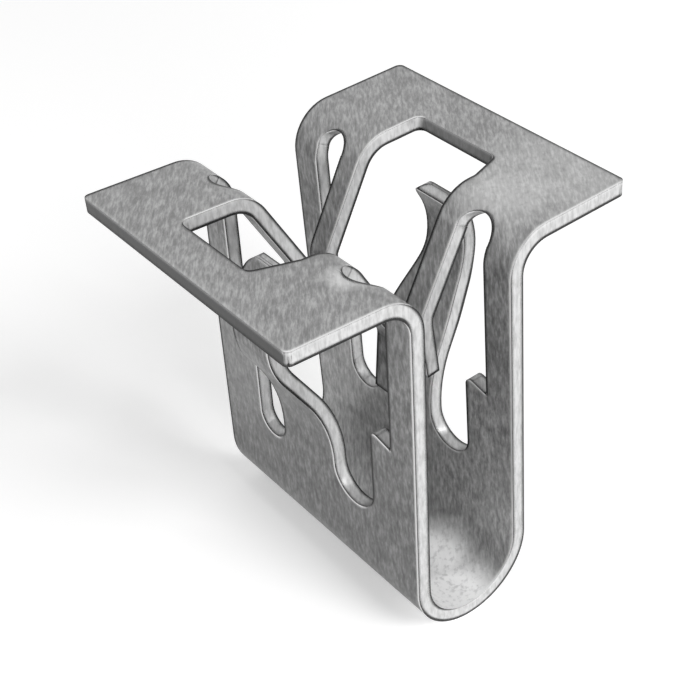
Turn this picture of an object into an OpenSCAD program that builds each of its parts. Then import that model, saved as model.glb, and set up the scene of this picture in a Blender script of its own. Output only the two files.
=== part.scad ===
// Molding clip folded from one strip of spring steel.
// The U goes down through a slot in a panel until both flanges lie on the panel's face.
// The tongues snap out under the panel, and the fingers grip the molding's rib in the U.
// X runs across the U, Y along the clip's width and +Z out of the panel.
// The origin is in the middle of the clip, level with the underside of the flanges.

/* [Sheet] */
// Thickness of the sheet
sheet_t = 0.75; // [0.5:0.05:0.9]
// Width of the clip along Y
clip_w = 16; // [15:0.5:22]

/* [U body] */
// Depth from the underside of the flanges to the bottom of the U
depth = 20.85; // [19:0.05:26]
// Gap between the legs just below the flanges
mouth_gap = 4.95; // [4:0.05:7]
// Angle by which each leg leans in towards its flange
leg_lean = 1; // [0:0.25:3]

/* [Flanges] */
// Distance across both flanges, tip to tip
span = 19.1; // [18:0.1:24]
// Radius inside the bend between a leg and its flange
bend_r = 1.45; // [0.8:0.05:1.8]
// Angle by which the left flange rises towards its outer edge
left_rise = 3; // [0:0.1:4]
// Angle by which the right flange rises towards its outer edge
right_rise = 0.8; // [0:0.1:4]
// Radius of the flanges' outer corners
corner_r = 0.35; // [0.1:0.05:1]

/* [Windows] */
// Width of the window that opens each flange and leg
window_w = 6; // [5:0.05:6.5]
// Shift of the window and the fingers along Y, off the middle of the clip
window_shift = 0.15; // [0:0.05:0.3]
// Strip of the left flange that is left outside its window
left_rim = 2.2; // [1.5:0.05:3]
// Strip of the right flange that is left outside its window
right_rim = 2.75; // [1.5:0.05:3]
// Radius of the window's outer corners
window_r = 0.45; // [0.1:0.05:1]
// Angle by which one side of the window closes in towards the flange's rim
window_skew = 17; // [0:1:20]

/* [Slots] */
// Distance between the outer sides of the two slots in a leg
slots_w = 12.4; // [11.6:0.1:13]
// The same distance below the shoulders
slots_low_w = 9.4; // [8.6:0.1:10]
// Height of the slots' round floor above the bottom of the U
slot_floor_h = 6.4; // [5:0.1:7]
// Height of the shoulders above the bottom of the U
shoulder_h = 12.1; // [11:0.1:13]
// Angle by which the shoulders fall towards the outer strips
shoulder_fall = 13; // [0:1:25]
// Radius on the corner of a shoulder
shoulder_r = 0.4; // [0.1:0.05:0.8]
// Place of the left slots' upper ends round the bend, from level inwards
left_slot_turn = 51; // [30:1:54]
// Place of the right slots' upper ends round the bend, from level inwards
right_slot_turn = 30; // [30:1:54]

/* [Fingers] */
// Width of each finger
finger_w = 1.3; // [1:0.05:1.6]
// Angle by which a finger leans in towards the rib
finger_lean = 28.5; // [20:0.5:30]
// Gap between facing fingers, where they grip the rib
grip_gap = 0.8; // [0.4:0.05:1.5]
// Radius inside the knee of a finger
knee_r = 0.8; // [0.4:0.05:2]
// Angle by which a finger's free end flares away from the rib
finger_flare = 6; // [0:1:15]

/* [Tongues] */
// Height above the bottom of the U at which a tongue leaves its leg
root_h = 7.9; // [7.6:0.05:9]
// Width of a tongue at its root
root_w = 4.3; // [3.6:0.1:5]
// Width of a tongue at its free end
tip_w = 2.8; // [2:0.1:4]
// Shift of the left tongue's root along Y, off the middle of the clip
left_tongue_shift = 0.5; // [0:0.05:0.6]
// Shift of the right tongue's root along Y, off the middle of the clip
right_tongue_shift = 0.3; // [0:0.05:0.6]
// Shift of the left tongue's free end along Y, off the middle of the clip
left_tip_shift = -0.2; // [-0.5:0.05:0.5]
// Shift of the right tongue's free end along Y, off the middle of the clip
right_tip_shift = 0.2; // [-0.5:0.05:0.5]
// Radius inside the bend that leads a tongue out
lead_r = 8; // [5:0.5:12]
// Angle by which a tongue leans out
lead_turn = 33; // [20:1:40]
// Length of the straight stretch between a tongue's bends
lead_len = 2.2; // [1:0.1:4]
// Radius inside the bend that brings a tongue back
crest_r = 3.7; // [2:0.1:6]
// Angle by which that bend turns the tongue back in
crest_turn = 61; // [40:1:75]
// Length of the left tongue's straight free end
left_tip_len = 1.7; // [0.5:0.1:2.2]
// Length of the right tongue's straight free end
right_tip_len = 0.8; // [0.5:0.1:2.2]
// Radius on the corners of the free end
tip_r = 0.9; // [0.2:0.1:0.9]

/* [Hidden] */
$fn = 96;
// Overshoot of every cutting shape past what it cuts
past = 1;

// Bends between legs and flanges
bend_out = bend_r + sheet_t;
bend_x = mouth_gap / 2 + bend_out;
bend_z = -bend_r;

// Radius inside the U, which both leaning legs run into without a step
u_r = (bend_x * cos(leg_lean) + (depth - sheet_t - bend_r) * sin(leg_lean) - bend_out)
    / (1 + sin(leg_lean));
u_out = u_r + sheet_t;
u_z = u_out - depth;
leg_len = (bend_z - u_z) * cos(leg_lean) - bend_x * sin(leg_lean);

// Heights along a leg, from the centre of the U
floor_z = slot_floor_h - u_out;
shoulder_z = shoulder_h - u_out;
root_z = root_h - u_out;

// The slots lie between the fingers and the outer strips of a leg
finger_y = window_w / 2;
slot_out_y = slots_w / 2;
low_y = slots_low_w / 2;
// The round upper end of a slot is this much wider than the slot
relief = 0.05;

// A finger is as long as the strip that was cut free down to the shoulder
knee_out = knee_r + sheet_t;
knee_turn = finger_lean + finger_flare;
finger_cut = (bend_r + sheet_t / 2) * (finger_lean + leg_lean) * PI / 180
    + leg_len - shoulder_z;
finger_drop = (bend_x - (bend_out - knee_out) * cos(finger_lean) - knee_out - grip_gap / 2)
    / sin(finger_lean);
finger_tail = finger_cut - finger_drop - (knee_r + sheet_t / 2) * knee_turn * PI / 180;

// Heights above a tongue's root between which it narrows
narrow_from = 3.6;
narrow_to = 7.9;
narrow_steps = 14;
// Height of a tongue's rounded outline above its free end
tip_crown = 0.1;

// Where a slot starts beside its finger, on the side of Y with this sign
function slot_in_y(side) = finger_y + finger_w + side * window_shift;

// Length of a flange, from its bend to its edge
function flange_len(rise) = (span / 2 - bend_x + bend_r * sin(rise)) / cos(rise);

// Rise of a tongue from its root to its free end
function tongue_rise(tip_len) = (lead_r + sheet_t / 2) * sin(lead_turn)
    + lead_len * cos(lead_turn)
    + (crest_r + sheet_t / 2) * (sin(lead_turn) + sin(crest_turn - lead_turn))
    + tip_len * cos(crest_turn - lead_turn);

// Ease from one value to another as share goes from 0 to 1
function eased(from, to, share) = (from + to + (from - to) * cos(180 * share)) / 2;

// Flat stretch of sheet that runs up from the origin, and what follows it
module straight(width, length) {
    translate([0, -width / 2, 0]) cube([sheet_t, width, length]);
    translate([0, 0, length]) children();
}

// Bent stretch of sheet about the Y axis, from +X on
module arc(width, inner_r, angle) {
    rotate([90, 0, 0])
        rotate_extrude(angle = angle)
            translate([inner_r, -width / 2]) square([sheet_t, width]);
}

// Bend towards +X, and what follows it
module turn_out(width, inner_r, angle) {
    translate([sheet_t + inner_r, 0, 0]) {
        mirror([1, 0, 0]) arc(width, inner_r, angle);
        rotate([0, angle, 0]) translate([-sheet_t - inner_r, 0, 0]) children();
    }
}

// Bend towards -X, and what follows it
module turn_in(width, inner_r, angle) {
    translate([-inner_r, 0, 0]) {
        arc(width, inner_r, angle);
        rotate([0, -angle, 0]) translate([inner_r, 0, 0]) children();
    }
}

// Turns a drawing of Y and Z to face along X, between two depths
module through(from, to) {
    translate([from, 0, 0]) rotate([90, 0, 90]) linear_extrude(to - from) children();
}

// The same on both sides of the middle of the width
module both_ways() {
    children();
    mirror([0, 1, 0]) children();
}

// Frame that runs up a leg from the centre of the U, with X through the sheet
module leg_frame() {
    translate([0, 0, u_z]) rotate([0, -leg_lean, 0]) children();
}

// Frame at the centre of a bend, turned so that its -X meets the sheet this far up
module bend_frame(turn) {
    translate([bend_x, 0, bend_z]) rotate([0, turn, 0]) children();
}

// Right half of the strip: half the U, a leg, a bend and a flange
module half_strip(rise) {
    translate([0, 0, u_z]) rotate([0, 90, 0]) translate([u_r, 0, 0])
        turn_in(clip_w, u_r, 90 + leg_lean)
        straight(clip_w, leg_len)
        turn_out(clip_w, bend_r, 90 + leg_lean - rise)
        straight(clip_w, flange_len(rise));
}

// What is taken off the two outer corners of a flange
module flange_corners() {
    both_ways()
        translate([span / 2 - corner_r, clip_w / 2 - corner_r, -depth / 2])
            linear_extrude(depth)
                difference() {
                    square(corner_r + past);
                    circle(corner_r);
                }
}

// Window through a flange, open towards the leg
module flange_window(rise, rim) {
    edge = flange_len(rise) - rim;
    inner = bend_out + past;
    round_x = edge - window_r;
    round_y = finger_y - window_r;
    skew_y = (round_x - sheet_t / 2) * tan(window_skew) + window_r / cos(window_skew) - finger_y;
    bend_frame(-rise)
        translate([0, window_shift, 0]) linear_extrude(inner) {
            polygon([
                [-inner, -finger_y],
                [sheet_t / 2, -finger_y],
                [round_x, skew_y] + window_r * [sin(window_skew), -cos(window_skew)],
                [edge, skew_y],
                [edge, round_y],
                [round_x, finger_y],
                [-inner, finger_y]
            ]);
            for (y = [skew_y, round_y])
                translate([round_x, y]) circle(window_r);
        }
}

// Frees the fingers from the leg, up to where they leave the bend
module finger_roots() {
    inner = bend_out + past;
    half = (slot_in_y(0) + slot_out_y) / 2;
    bend_frame(finger_lean)
        translate([-inner, -half, -inner]) cube([inner, 2 * half, inner]);
}

// Outline in Y and Z of what is cut from a leg and its bend for the slot on one side
module slot_outline(side, shift) {
    inner_y = root_w / 2 + side * shift;
    in_y = slot_in_y(side);
    width = low_y - inner_y;
    round_z = floor_z + width / 2;
    free_z = leg_len - sheet_t;
    top_z = leg_len + bend_out;
    polygon([
        [inner_y, root_z],
        [inner_y, round_z],
        [low_y, round_z],
        [low_y, shoulder_z],
        [slot_out_y, shoulder_z - (slot_out_y - low_y) * tan(shoulder_fall)],
        [slot_out_y, top_z],
        [in_y, top_z],
        [in_y, free_z],
        [-past, free_z],
        [-past, root_z]
    ]);
    translate([inner_y + width / 2, round_z]) circle(d = width);
    shoulder_corner();
}

// Metal taken off the corner of a shoulder
module shoulder_corner() {
    corner = [low_y, shoulder_z];
    centre = corner + shoulder_r * [1, -tan(shoulder_fall) - 1 / cos(shoulder_fall)];
    difference() {
        polygon([
            corner,
            [corner.x, centre.y],
            centre,
            centre + shoulder_r * [sin(shoulder_fall), cos(shoulder_fall)]
        ]);
        translate(centre) circle(shoulder_r);
    }
}

// Both slots of a leg, up to round ends at a turn of the bend
module slots(turn, shift) {
    intersection() {
        leg_frame()
            through(u_r - past, u_out + bend_r) {
                slot_outline(1, shift);
                mirror([1, 0]) slot_outline(-1, shift);
            }
        bend_frame(turn)
            translate([-depth, -clip_w / 2, -2 * depth])
                cube([2 * depth, clip_w, 2 * depth]);
    }
    for (side = [1, -1])
        bend_frame(turn)
            translate([0, side * (slot_in_y(side) + slot_out_y) / 2, 0])
                rotate([0, -90, 0])
                    cylinder(d = slot_out_y - slot_in_y(side) + relief, h = bend_out + past);
}

// Finger that hangs from a bend, grips the rib at its knee and flares away below it
module finger() {
    bend_frame(finger_lean)
        translate([-bend_out, 0, 0]) mirror([0, 0, 1])
            straight(finger_w, finger_drop)
            turn_out(finger_w, knee_r, knee_turn)
            straight(finger_w, finger_tail);
}

// Edge of a tongue in Y and Z, from its root up, on the side of this sign
function tongue_edge(side, shift, tip_shift, round_z) = [
    [shift + side * root_w / 2, 0],
    for (i = [0 : narrow_steps])
        let (share = i / narrow_steps)
        [
            eased(shift + side * root_w / 2, tip_shift + side * tip_w / 2, share),
            narrow_from + share * (narrow_to - narrow_from)
        ],
    [tip_shift + side * tip_w / 2, round_z]
];

// Outline of a tongue in Y and Z
module tongue_outline(shift, tip_shift, rise) {
    round_z = rise + tip_crown - tip_r;
    left = tongue_edge(-1, shift, tip_shift, round_z);
    polygon(concat(
        tongue_edge(1, shift, tip_shift, round_z),
        [for (i = [len(left) - 1 : -1 : 0]) left[i]]
    ));
    translate([tip_shift, 0]) {
        translate([tip_r - tip_w / 2, 0]) square([tip_w - 2 * tip_r, rise + tip_crown]);
        for (y = [-1, 1] * (tip_w / 2 - tip_r))
            translate([y, round_z]) circle(tip_r);
    }
}

// Tongue that leaves a leg, bulges out and comes back in to its free end
module tongue(shift, tip_shift, tip_len) {
    width = 2 * root_w;
    leg_frame()
        translate([0, 0, root_z])
            intersection() {
                translate([u_r, 0, 0])
                    turn_out(width, lead_r, lead_turn)
                    straight(width, lead_len)
                    turn_in(width, crest_r, crest_turn)
                    straight(width, tip_len);
                through(0, span) tongue_outline(shift, tip_shift, tongue_rise(tip_len));
            }
}

// Right half of the clip, for the values of one side
module half_clip(rise, rim, slot_turn, shift, tip_shift, tip_len) {
    difference() {
        half_strip(rise);
        flange_corners();
        flange_window(rise, rim);
        finger_roots();
        slots(slot_turn, shift);
    }
    translate([0, window_shift, 0])
        both_ways() translate([0, finger_y + finger_w / 2, 0]) finger();
    tongue(shift, tip_shift, tip_len);
}

module molding_clip() {
    color([0.6, 0.61, 0.62]) {
        half_clip(
            right_rise, right_rim, right_slot_turn,
            right_tongue_shift, right_tip_shift, right_tip_len
        );
        mirror([1, 0, 0])
            half_clip(
                left_rise, left_rim, left_slot_turn,
                left_tongue_shift, left_tip_shift, left_tip_len
            );
    }
}

molding_clip();
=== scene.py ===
"""Looks of the molding clip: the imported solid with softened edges, in streaked spring steel."""

import math

import bmesh
import bpy
from mathutils import Matrix, Vector
from mathutils.bvhtree import BVHTree
from mathutils.geometry import tessellate_polygon


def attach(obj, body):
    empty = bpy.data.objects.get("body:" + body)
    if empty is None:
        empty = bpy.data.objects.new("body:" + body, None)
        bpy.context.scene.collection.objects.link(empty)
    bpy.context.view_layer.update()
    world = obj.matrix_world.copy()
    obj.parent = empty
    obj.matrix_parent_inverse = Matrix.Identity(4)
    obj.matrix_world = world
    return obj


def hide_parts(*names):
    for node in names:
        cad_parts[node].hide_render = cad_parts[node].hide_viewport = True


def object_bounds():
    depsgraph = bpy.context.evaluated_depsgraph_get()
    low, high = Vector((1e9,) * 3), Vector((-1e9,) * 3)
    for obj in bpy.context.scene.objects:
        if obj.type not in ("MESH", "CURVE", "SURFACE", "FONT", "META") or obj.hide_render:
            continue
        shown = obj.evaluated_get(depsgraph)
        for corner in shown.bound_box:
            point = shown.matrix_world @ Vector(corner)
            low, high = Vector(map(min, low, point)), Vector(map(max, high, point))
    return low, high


MM = 0.001
NODE = "molding_clip"

# Softened edges, in millimetres and degrees
EDGE_ROUND = 0.09
EDGE_SEGMENTS = 3
SHARP_ANGLE = 28
WELD_GAP = 0.0005
FLAT_ANGLE = 0.4
LARGE_FACE_WEIGHT = 80

# A face with more metal than this behind it, in millimetres, is a cut through the sheet
THICKEST_ACROSS = 1.0
PROBE_DEPTH = 0.01
PROBE_REACH = 100

# Slots of the clip's materials
SHEET, CUT, EDGE = 0, 1, 2

# Streaks of the rolled sheet: their turn about Z in degrees, and how long they are drawn out
STREAK_TURN = 52.9
STREAK_LENGTH = 4.5

# Fineness of the patterns, in marks per metre
SHEET_STREAKS = 7500
CUT_STREAKS = 6500
EDGE_STREAKS = 5200
CLOUDS = 900
EDGE_WEAR = 1500
SPECKS = 3600
GRAIN = 9000
GRAIN_DEPTH = 0.02

# Greys of the sheet's faces, from the darkest streaks to the lightest. The legs' inner greys and
# the flanges'
# lighter greys are painted light: the inner sides are lifted out of their shade, and upward faces
# are lit from above. In each ramp from here on, a stop is a place on the scale of what the ramp
# follows, and its grey or share.
LEG_GREYS = ((0.36, 0.1), (0.5, 0.2), (0.64, 0.35))
INNER_PAINTED_LIGHT_GREYS = ((0.36, 0.24), (0.5, 0.4), (0.64, 0.6))
FLANGE_TOP_LIT_GREYS = ((0.36, 0.21), (0.5, 0.31), (0.64, 0.47))
CLOUD_SHARE = 0.25
LOWER_LEG_SHADE = 0.78

# Ramps that tell flanges from legs by how far they face up, so that upward faces take the lighter
# greys as painted light from above; the legs' inner sides by their place in millimetres from the
# middle plane; and their lower part by its height in millimetres, where the inner sides get
# painted light and the outer sides turn darker
TOP_LIGHT_BY_FACING = ((0.1, 0.0), (0.85, 1.0))
INNER_SIDE = ((0.26, 0.0), (2.6, 1.0))
LOWER_PART = ((-12, 1.0), (-6, 0.0))

# Painted light on cut faces: the side they are painted brightest on, and their greys from facing
# away to facing it
CUT_LIGHT_SIDE = (0.1, -0.75, 0.65)
CUT_LIT_AND_SHADED_GREYS = ((-0.74, 0.34), (-0.34, 0.14), (-0.1, 0.03), (0.5, 0.62))
DRAG_MARKS = ((0.32, 0.7), (0.6, 1.0))

# The side that rounded edges get painted highlights on, and their greys from painted shade to
# painted highlight
EDGE_LIGHT_SIDE = (-0.25, -0.45, 0.85)
EDGE_LIT_AND_SHADED_GREYS = ((0.6, 0.02), (0.85, 0.9))
WEAR_MARKS = ((0.35, 0.75), (0.6, 1.0))

# Painted lines beside the edges: the side the painted highlight lines are on, their reach in
# millimetres, and how much of both lines on a cut face is painted dark as shade
LINE_LIGHT_SIDE = (-0.3, -0.6, 0.74)
LINE_REACH = 0.3
LINE_SAMPLES = 8
CUT_EDGE_SHADE = 0.45
HIGHLIGHT_LINE = ((0.03, 0.0), (0.2, 0.9))
SHADE_LINE = ((-0.13, 0.03), (-0.015, 1.0))

# Middle, reach and strength of each painted pool of light and highlight, in millimetres, and the
# share of the reach that is painted in full
LIGHT_PATCHES = (
    ((-0.7, -7.1, -20.2), 3.1, 1.0),
    ((0.3, -4.4, -20.0), 2.7, 0.8),
    ((5.2, -5.0, 0.8), 2.8, 0.3),
    ((8.0, -5.2, 1.0), 4.6, 0.2),
    ((-4.3, -5.2, 0.6), 1.2, 0.45),
    ((-3.7, 8.0, -10.0), 7.5, 0.13),
)
LIGHT_PATCH_IN_FULL = 0.45
SPECK_MARKS = ((0.34, 0.65), (0.5, 1.0))

# Share of the steel's look that comes from mirroring its surroundings, in general and in the
# painted pools of light
METALLIC = 0.5
LIGHT_PATCH_METALLIC = 0.1

# Roughness and strength of the grain on each kind of face, and how the streaks change roughness
SHEET_FINISH = (0.42, 0.35)
CUT_FINISH = (0.36, 0.3)
EDGE_FINISH = (0.34, 0.15)
SMOOTH_STREAKS = (0.3, -0.07)
ROUGH_STREAKS = (0.7, 0.09)
GRAIN_SHARE = 0.4

BLACK = (0, 0, 0, 1)
MID_GREY = (0.26, 0.26, 0.26, 1)
HIGHLIGHT_GREY = (0.9, 0.9, 0.9, 1)
LIGHT_PATCH_GREY = (0.97, 0.97, 0.97, 1)
FLOOR_GREY = (0.9, 0.9, 0.9, 1)
WHITE = (1, 1, 1, 1)

# Studio, in metres and watts: each lamp's name, place, size and power
LAMPS = (
    ("key", (0.05, -0.35, 0.3), 0.2, 1.35),
    ("fill", (-0.15, -0.4, 0.02), 0.2, 0.9),
)
LAMP_TARGET = (0, 0, -0.008)
WORLD_LIGHT = 0.4
FLOOR_SIZE = 3.0

# What the floor adds to its light where it is seen directly, to read as white
FLOOR_GLOW = 0.34

# Camera worked out from the photograph, in millimetres and degrees
CAMERA_EYE = (-33.42, -46.21, 36.08)
CAMERA_TURN = -35.242
CAMERA_RISE = 37.969
CAMERA_ROLL = -4.599
FOCAL_PIXELS = 1458.148
IMAGE_PIXELS = 700
SENSOR_WIDTH = 36
NEAREST_SEEN = 1


# Geometry


def triangles(corners):
    """The face cut into triangles."""
    for i, j, k in tessellate_polygon([corners]):
        yield corners[i], corners[j], corners[k]


def across(tree, face):
    """How thick the metal is behind a face, in millimetres, from a point well inside it."""
    corners = [loop.vert.co for loop in face.loops]
    best, point = 0.0, face.calc_center_median()
    for a, b, c in triangles(corners):
        area = (b - a).cross(c - a).length
        if area > best:
            best, point = area, (a + b + c) / 3
    start = point - face.normal * PROBE_DEPTH * MM
    hit, _, _, distance = tree.ray_cast(start, -face.normal, PROBE_REACH * MM)
    return distance / MM if hit is not None else 0.0


def softened_clip(source):
    """A copy of the clip's solid with rounded edges, its faces sorted into sheet, cut and edge."""
    mesh = source.data.copy()
    mesh.name = "clip_steel"
    mesh.materials.clear()
    work = bmesh.new()
    work.from_mesh(mesh)
    bmesh.ops.remove_doubles(work, verts=work.verts, dist=WELD_GAP * MM)
    bmesh.ops.dissolve_limit(
        work,
        angle_limit=math.radians(FLAT_ANGLE),
        use_dissolve_boundaries=False,
        verts=work.verts,
        edges=work.edges,
    )
    work.normal_update()
    tree = BVHTree.FromBMesh(work)
    for face in work.faces:
        face.material_index = CUT if across(tree, face) > THICKEST_ACROSS else SHEET
    least = math.radians(SHARP_ANGLE)
    sharp = [e for e in work.edges if len(e.link_faces) == 2 and e.calc_face_angle() > least]
    bmesh.ops.bevel(
        work,
        geom=sharp,
        offset=EDGE_ROUND * MM,
        offset_type="OFFSET",
        segments=EDGE_SEGMENTS,
        profile=0.5,
        affect="EDGES",
        clamp_overlap=True,
        material=EDGE,
    )
    work.normal_update()
    for face in work.faces:
        face.smooth = True
    work.to_mesh(mesh)
    work.free()
    clip = bpy.data.objects.new("clip_steel", mesh)
    bpy.context.scene.collection.objects.link(clip)
    even = clip.modifiers.new("even_normals", "WEIGHTED_NORMAL")
    even.mode = "FACE_AREA"
    even.weight = LARGE_FACE_WEIGHT
    even.keep_sharp = True
    return clip


# Materials


class Nodes:
    """Small helper that adds and joins a material's shader nodes."""

    def __init__(self, material):
        material.use_nodes = True
        self.tree = material.node_tree
        self.shader = self.tree.nodes["Principled BSDF"]

    def add(self, kind, **values):
        node = self.tree.nodes.new(kind)
        for name, value in values.items():
            setattr(node, name, value)
        return node

    def put(self, value, socket):
        """Joins an output to a socket, or sets a plain value on it."""
        if hasattr(value, "is_linked"):
            self.tree.links.new(value, socket)
        else:
            socket.default_value = value

    def number(self, operation, *values):
        node = self.add("ShaderNodeMath", operation=operation)
        for value, socket in zip(values, node.inputs):
            self.put(value, socket)
        return node.outputs[0]

    def vector(self, operation, *values, out="Value"):
        node = self.add("ShaderNodeVectorMath", operation=operation)
        for value, socket in zip(values, node.inputs):
            self.put(value, socket)
        return node.outputs[out]

    def normal(self):
        return self.add("ShaderNodeNewGeometry").outputs["Normal"]

    def noise(self, place, scale, detail, roughness):
        node = self.add("ShaderNodeTexNoise")
        self.put(place, node.inputs["Vector"])
        self.put(scale, node.inputs["Scale"])
        self.put(detail, node.inputs["Detail"])
        self.put(roughness, node.inputs["Roughness"])
        return node.outputs["Fac"]

    def ramp(self, value, *stops, unit=1.0):
        """Grey that follows a value through stops, whose places are given in a unit."""
        first, last = stops[0][0], stops[-1][0]
        reach = last - first
        node = self.add("ShaderNodeValToRGB")
        elements = node.color_ramp.elements
        while len(elements) < len(stops):
            elements.new(0.5)
        for element, (where, grey) in zip(elements, stops):
            element.position = (where - first) / reach
            element.color = (grey, grey, grey, 1)
        share = self.number("MULTIPLY_ADD", value, 1 / (reach * unit), -first / reach)
        self.put(share, node.inputs["Fac"])
        return node.outputs["Color"]

    def mix(self, share, a, b, blend="MIX"):
        node = self.add("ShaderNodeMix", data_type="RGBA", blend_type=blend)
        self.put(share, node.inputs[0])
        self.put(a, node.inputs[6])
        self.put(b, node.inputs[7])
        return node.outputs[2]

    def times(self, a, b):
        return self.mix(1.0, a, b, "MULTIPLY")

    def bump(self, height, strength, distance):
        node = self.add("ShaderNodeBump")
        self.put(strength, node.inputs["Strength"])
        self.put(distance, node.inputs["Distance"])
        self.put(height, node.inputs["Height"])
        return node.outputs["Normal"]


def steel_place(n):
    """Object coordinates drawn out along the streaks, and plain ones in metres."""
    plain = n.add("ShaderNodeTexCoord").outputs["Object"]
    drawn = n.add("ShaderNodeMapping", vector_type="TEXTURE")
    n.put(plain, drawn.inputs["Vector"])
    n.put((0, 0, math.radians(STREAK_TURN)), drawn.inputs["Rotation"])
    n.put((STREAK_LENGTH, 1, STREAK_LENGTH), drawn.inputs["Scale"])
    return drawn.outputs["Vector"], plain


def facing(n, direction):
    """How far the surface faces a direction of the scene, from -1 to 1."""
    return n.vector("DOT_PRODUCT", n.normal(), Vector(direction).normalized())


def edge_turn(n):
    """How much an edge close by turns the surface to the side of the painted highlight lines, and
    how much in all.
    """
    rounded = n.add("ShaderNodeBevel", samples=LINE_SAMPLES)
    n.put(LINE_REACH * MM, rounded.inputs["Radius"])
    change = n.vector("SUBTRACT", rounded.outputs["Normal"], n.normal(), out="Vector")
    toward = n.vector("DOT_PRODUCT", change, Vector(LINE_LIGHT_SIDE).normalized())
    return toward, n.vector("LENGTH", change)


def painted_edge_lines(n, colour, shade_share=0.0):
    """The colour with painted highlight lines along edges turned to the lit side, and painted
    shade lines along the others.
    """
    # Painted highlight and shade lines along the edges, chosen by the side each edge turns to.
    toward, amount = edge_turn(n)
    turn = n.number("MULTIPLY_ADD", amount, -shade_share, toward)
    highlight_lines = n.mix(n.ramp(turn, *HIGHLIGHT_LINE), colour, HIGHLIGHT_GREY)
    return n.times(highlight_lines, n.ramp(turn, *SHADE_LINE))


def looks_inward(n, plain):
    """Share of the surface that faces the middle plane between the legs, where painted light lifts
    the greys.
    """
    place = n.add("ShaderNodeSeparateXYZ")
    n.put(plain, place.inputs[0])
    product = n.number("MULTIPLY", place.outputs["X"], facing(n, (-1, 0, 0)))
    return n.ramp(product, *INNER_SIDE, unit=MM)


def lies_low(n, plain):
    """Share that grows from the upper part of the legs to the lower one."""
    place = n.add("ShaderNodeSeparateXYZ")
    n.put(plain, place.inputs[0])
    return n.ramp(place.outputs["Z"], *LOWER_PART, unit=MM)


def painted_light_patches(n, plain):
    """Share of painted pools of light and highlight, speckled: at the U's mouth, the bends, a
    flange and a leg.
    """
    total = None
    for centre, reach, strength in LIGHT_PATCHES:
        away = n.vector("DISTANCE", plain, Vector(centre) * MM)
        near = n.ramp(away, (LIGHT_PATCH_IN_FULL * reach, strength), (reach, 0.0), unit=MM)
        total = near if total is None else n.mix(1.0, total, near, "LIGHTEN")
    return n.times(total, n.ramp(n.noise(plain, SPECKS, 4, 0.6), *SPECK_MARKS))


def finish(n, colour, streaks, plain, roughness, grain):
    """Joins a colour to the shader, with roughness and bump from the streaks."""
    n.put(colour, n.shader.inputs["Base Color"])
    stops = [(where, roughness + change) for where, change in (SMOOTH_STREAKS, ROUGH_STREAKS)]
    n.put(n.ramp(streaks, *stops), n.shader.inputs["Roughness"])
    n.put(METALLIC, n.shader.inputs["Metallic"])
    height = n.mix(GRAIN_SHARE, streaks, n.noise(plain, GRAIN, 3, 0.6))
    n.put(n.bump(height, grain, GRAIN_DEPTH * MM), n.shader.inputs["Normal"])


def sheet_steel():
    """Dull rolled faces: streaked and mottled, with painted light on upward faces and on the legs'
    lower inner sides, darker towards the bottom of the outer legs, and with painted pools of light
    in places.
    """
    material = bpy.data.materials.new("steel_sheet")
    n = Nodes(material)
    drawn, plain = steel_place(n)
    streaks = n.noise(drawn, SHEET_STREAKS, 3, 0.65)
    shade = n.mix(CLOUD_SHARE, streaks, n.noise(plain, CLOUDS, 3, 0.55))
    low = lies_low(n, plain)
    outer = n.times(n.ramp(shade, *LEG_GREYS), n.ramp(low, (0.0, 1.0), (1.0, LOWER_LEG_SHADE)))
    # Painted light: the legs' lower inner sides, in shade inside the U, take the lighter inner
    # greys.
    inside = n.times(looks_inward(n, plain), low)
    legs = n.mix(inside, outer, n.ramp(shade, *INNER_PAINTED_LIGHT_GREYS))
    # Painted light: faces turned up take the lighter flange greys, faces turned sideways the
    # darker leg greys.
    top_light_share = n.ramp(facing(n, (0, 0, 1)), *TOP_LIGHT_BY_FACING)
    colour = n.mix(top_light_share, legs, n.ramp(shade, *FLANGE_TOP_LIT_GREYS))
    # Painted light: speckled pools of light and highlight, with less mirroring where they lie.
    light_patch = painted_light_patches(n, plain)
    colour = n.mix(light_patch, colour, LIGHT_PATCH_GREY)
    finish(n, painted_edge_lines(n, colour), streaks, plain, *SHEET_FINISH)
    metallic = n.ramp(light_patch, (0.0, METALLIC), (1.0, LIGHT_PATCH_METALLIC))
    n.put(metallic, n.shader.inputs["Metallic"])
    return material


def cut_steel():
    """Sheared faces through the sheet's thickness, with drag marks, painted bright on the side
    facing the light, dark away from it, and lighter on the legs' inner sides.
    """
    material = bpy.data.materials.new("steel_cut")
    n = Nodes(material)
    drawn, plain = steel_place(n)
    streaks = n.noise(drawn, CUT_STREAKS, 3, 0.65)
    # Painted light and shade: the cut face's grey follows the side it faces.
    bright = n.ramp(facing(n, CUT_LIGHT_SIDE), *CUT_LIT_AND_SHADED_GREYS)
    # Painted light: on the legs' inner sides, cut faces go no darker than mid grey.
    least = n.mix(looks_inward(n, plain), BLACK, MID_GREY)
    colour = n.times(n.mix(1.0, bright, least, "LIGHTEN"), n.ramp(streaks, *DRAG_MARKS))
    finish(n, painted_edge_lines(n, colour, CUT_EDGE_SHADE), streaks, plain, *CUT_FINISH)
    return material


def edge_steel():
    """Rounded edges: painted highlights where they face the light and painted shade where they
    turn under, with mottled wear.
    """
    material = bpy.data.materials.new("steel_edge")
    n = Nodes(material)
    drawn, plain = steel_place(n)
    streaks = n.noise(drawn, EDGE_STREAKS, 3, 0.65)
    # Painted highlight and shade: the rounded edge's grey follows the side it faces.
    bright = n.ramp(facing(n, EDGE_LIGHT_SIDE), *EDGE_LIT_AND_SHADED_GREYS)
    wear = n.ramp(n.noise(plain, EDGE_WEAR, 2, 0.5), *WEAR_MARKS)
    finish(n, n.times(bright, wear), streaks, plain, *EDGE_FINISH)
    return material


# Stage


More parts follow.
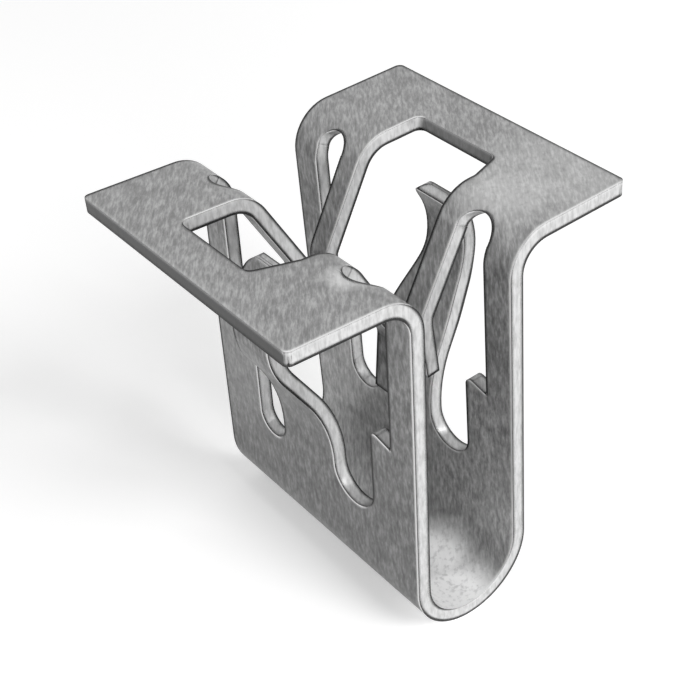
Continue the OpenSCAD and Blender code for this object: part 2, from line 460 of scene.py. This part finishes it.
def seen_directly(tree):
    """One for the camera and for glossy and transmitted rays, and nothing for all others."""
    path = tree.nodes.new("ShaderNodeLightPath")
    most = path.outputs["Is Camera Ray"]
    for ray in ("Is Glossy Ray", "Is Transmission Ray"):
        either = tree.nodes.new("ShaderNodeMath")
        either.operation = "MAXIMUM"
        tree.links.new(most, either.inputs[0])
        tree.links.new(path.outputs[ray], either.inputs[1])
        most = either.outputs[0]
    return most


def white_world():
    """Soft light from all round, behind a plain white that is seen directly."""
    world = bpy.data.worlds.new("studio")
    bpy.context.scene.world = world
    world.use_nodes = True
    tree = world.node_tree
    light = tree.nodes["Background"]
    light.inputs["Color"].default_value = WHITE
    light.inputs["Strength"].default_value = WORLD_LIGHT
    backdrop = tree.nodes.new("ShaderNodeBackground")
    backdrop.inputs["Color"].default_value = WHITE
    backdrop.inputs["Strength"].default_value = 1.0
    mix = tree.nodes.new("ShaderNodeMixShader")
    tree.links.new(seen_directly(tree), mix.inputs[0])
    tree.links.new(light.outputs[0], mix.inputs[1])
    tree.links.new(backdrop.outputs[0], mix.inputs[2])
    tree.links.new(mix.outputs[0], tree.nodes["World Output"].inputs["Surface"])


def pale_floor(height):
    """A wide matt floor that the clip stands on and throws its shadow on."""
    bpy.ops.mesh.primitive_plane_add(size=FLOOR_SIZE, location=(0, 0, height))
    floor = bpy.context.object
    floor.name = "floor"
    material = bpy.data.materials.new("pale_floor")
    material.use_nodes = True
    tree = material.node_tree
    shader = tree.nodes["Principled BSDF"]
    shader.inputs["Base Color"].default_value = FLOOR_GREY
    shader.inputs["Roughness"].default_value = 1.0
    shader.inputs["Specular IOR Level"].default_value = 0.0
    shader.inputs["Emission Color"].default_value = WHITE
    glow = tree.nodes.new("ShaderNodeMath")
    glow.operation = "MULTIPLY"
    glow.inputs[1].default_value = FLOOR_GLOW
    tree.links.new(seen_directly(tree), glow.inputs[0])
    tree.links.new(glow.outputs[0], shader.inputs["Emission Strength"])
    floor.data.materials.append(material)


def area_light(name, place, size, power):
    """A round lamp that looks at the clip."""
    data = bpy.data.lights.new(name, "AREA")
    data.shape = "DISK"
    data.size = size
    data.energy = power
    lamp = bpy.data.objects.new(name, data)
    lamp.location = place
    aim = Vector(LAMP_TARGET) - Vector(place)
    lamp.rotation_euler = aim.to_track_quat("-Z", "Y").to_euler()
    bpy.context.scene.collection.objects.link(lamp)


def photo_camera():
    """The camera that the photograph was taken with, as its picture shows."""
    turn, rise, roll = (math.radians(v) for v in (CAMERA_TURN, CAMERA_RISE, CAMERA_ROLL))
    back = Vector(
        (math.sin(turn) * math.cos(rise), -math.cos(turn) * math.cos(rise), math.sin(rise))
    )
    level = Vector((math.cos(turn), math.sin(turn), 0))
    up = back.cross(level)
    right = math.cos(roll) * level + math.sin(roll) * up
    above = -math.sin(roll) * level + math.cos(roll) * up
    data = bpy.data.cameras.new("camera")
    data.sensor_width = SENSOR_WIDTH
    data.lens = FOCAL_PIXELS / IMAGE_PIXELS * SENSOR_WIDTH
    data.clip_start = NEAREST_SEEN * MM
    camera = bpy.data.objects.new("camera", data)
    pose = Matrix((right, above, back)).transposed().to_4x4()
    pose.translation = Vector(CAMERA_EYE) * MM
    camera.matrix_world = pose
    bpy.context.scene.collection.objects.link(camera)
    bpy.context.scene.camera = camera


# Scene

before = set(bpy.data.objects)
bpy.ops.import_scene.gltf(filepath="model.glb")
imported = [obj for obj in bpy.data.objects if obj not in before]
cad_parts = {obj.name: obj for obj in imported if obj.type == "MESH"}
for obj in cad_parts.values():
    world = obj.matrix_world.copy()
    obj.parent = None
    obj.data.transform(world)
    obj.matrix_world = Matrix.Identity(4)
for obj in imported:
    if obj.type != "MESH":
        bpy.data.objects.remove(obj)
before = [list(corner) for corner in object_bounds()]

clip = softened_clip(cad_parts[NODE])
for material in (sheet_steel(), cut_steel(), edge_steel()):
    clip.data.materials.append(material)
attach(clip, "root")
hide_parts(NODE)

pale_floor(before[0][2])
white_world()
for lamp in LAMPS:
    area_light(*lamp)
photo_camera()
bpy.context.scene.view_settings.view_transform = "Standard"
